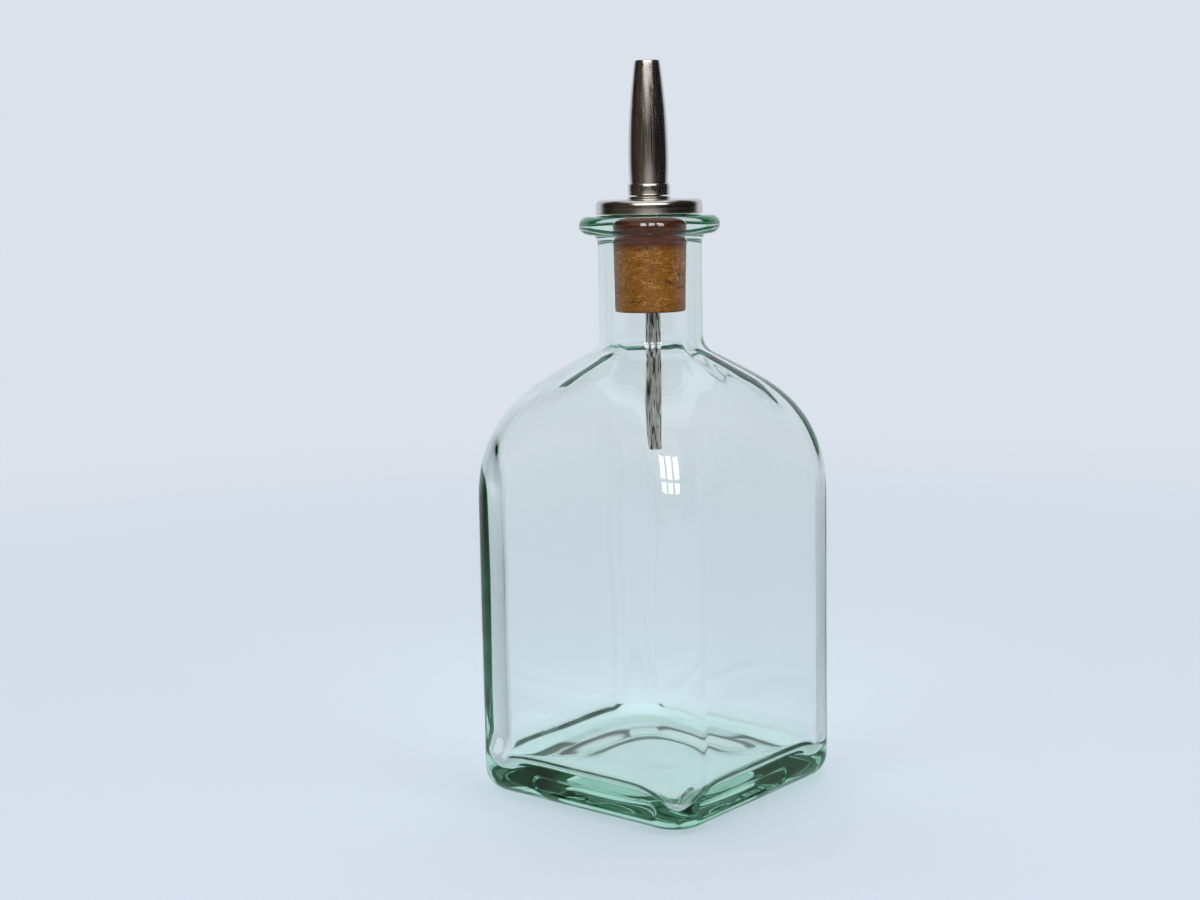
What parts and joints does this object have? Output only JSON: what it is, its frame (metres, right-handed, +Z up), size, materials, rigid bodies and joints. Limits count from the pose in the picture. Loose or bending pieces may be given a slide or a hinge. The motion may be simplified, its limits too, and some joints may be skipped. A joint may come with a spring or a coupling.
{
  "type": "oil cruet",
  "caption": "Square glass oil bottle with rounded shoulders and a flared lip, closed by a tapered cork that carries a steel pouring spout and an air tube.",
  "frame": {"origin": "centre of the base, on the surface the bottle stands on", "axes": "+Z up along the neck and spout; the bottle's flat sides face X and Y, with the heel pads on -Y and +X"},
  "size_m": [0.073, 0.073, 0.195],
  "materials": {
    "glass": "clear with a faint green cast",
    "cork": "natural cork",
    "flange_steel": "polished stamped stainless steel",
    "spout_steel": "drawn stainless steel with fine lengthwise lines",
    "stem_steel": "plain stainless tube",
    "tube_steel": "plain stainless tube"
  },
  "bodies": {
    "bottle": {"glass_bottle": "glass"},
    "stopper": {"cork_stopper": "cork"},
    "pourer": {"pourer_flange": "flange_steel", "pourer_spout": "spout_steel", "pourer_stem": "stem_steel", "air_tube": "tube_steel"}
  },
  "joints": [
    {"name": "stopper_lift", "type": "slide", "parent": "bottle", "child": "stopper", "axis": [0, 0, 1], "range_m": [0, 0.066]},
    {"name": "pourer_turn", "type": "hinge", "parent": "stopper", "child": "pourer", "pos_m": [0, 0, 0.1549], "axis": [0, 0, 1], "continuous": true}
  ]
}
